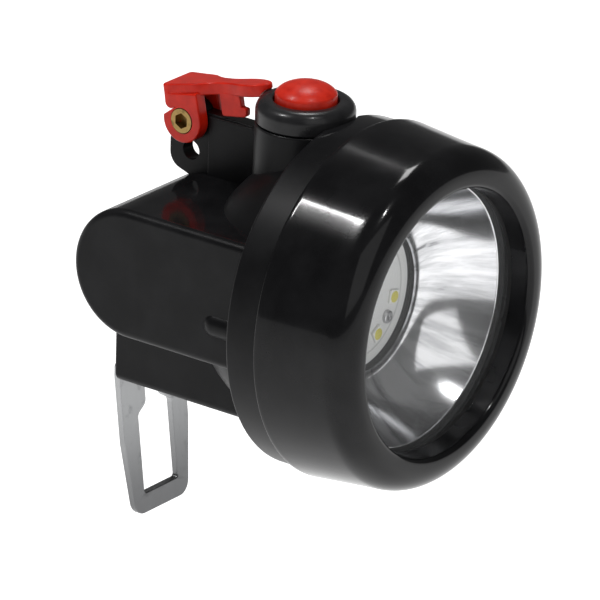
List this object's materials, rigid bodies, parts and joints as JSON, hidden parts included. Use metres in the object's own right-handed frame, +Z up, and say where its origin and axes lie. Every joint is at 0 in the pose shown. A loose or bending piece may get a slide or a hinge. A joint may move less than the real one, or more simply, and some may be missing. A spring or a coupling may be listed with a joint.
{
  "type": "cordless cap lamp",
  "caption": "Cordless miner's cap lamp: round reflector head with lens, cell housing behind it, push switch on top, red flip lever on a bracket, and a steel helmet hook below.",
  "frame": {"origin": "middle of the seat edge, where the hook's front face meets the underside of the hook block", "axes": "+Z up along the height, +Y towards the back of the lamp, +X to the right seen from the front, so the light shines along -Y"},
  "size_m": [0.068, 0.0712, 0.0933],
  "materials": {
    "black_gloss": "gloss black moulding",
    "black_satin": "satin black moulding",
    "red_plastic": "glossy red",
    "red_button": "satin red",
    "clear": "clear polycarbonate",
    "reflector": "vacuum-metallised",
    "board_white": "white solder mask",
    "board_green": "circuit board",
    "phosphor": "yellow phosphor",
    "stainless": "stamped stainless steel",
    "screw_steel": "zinc-plated steel",
    "brass": "dull brass",
    "aluminium": "machined",
    "cell": "shrink sleeve over a steel can",
    "nickel": "nickel strip",
    "lead": "insulated wire",
    "seal": "black rubber"
  },
  "bodies": {
    "lamp": {"bezel": "black_gloss", "bezel_seal": "seal", "lens": "clear", "lens_gasket": "seal", "reflector": "reflector", "led_board": "board_white", "main_led": "phosphor", "aux_leds": "phosphor", "board_screws": "screw_steel", "heat_sink": "aluminium", "driver_board": "board_green", "driver_components": "black_satin", "rear_housing": "black_satin", "cell_front": "cell", "cell_rear": "cell", "cell_cradle": "black_satin", "cell_tabs": "nickel", "battery_leads": "lead", "switch_body": "black_satin", "switch_seal": "seal", "button_spring": "nickel", "switch_collar": "black_satin", "pivot_pin": "brass", "pivot_nut": "brass", "hook": "stainless", "hook_screws": "screw_steel"},
    "button": {"button": "red_button"},
    "lever": {"latch_lever": "red_plastic"}
  },
  "joints": [
    {"name": "button_press", "type": "slide", "parent": "lamp", "child": "button", "axis": [0, 0, -1], "range_m": [0, 0.0014], "stiffness_N_per_m": 900, "springref_m": -0.001, "deforming": ["button_spring"]},
    {"name": "lever_flip", "type": "hinge", "parent": "lamp", "child": "lever", "pos_m": [0, -0.0091, 0.0522], "axis": [-1, 0, 0], "range_deg": [0, 85]}
  ]
}
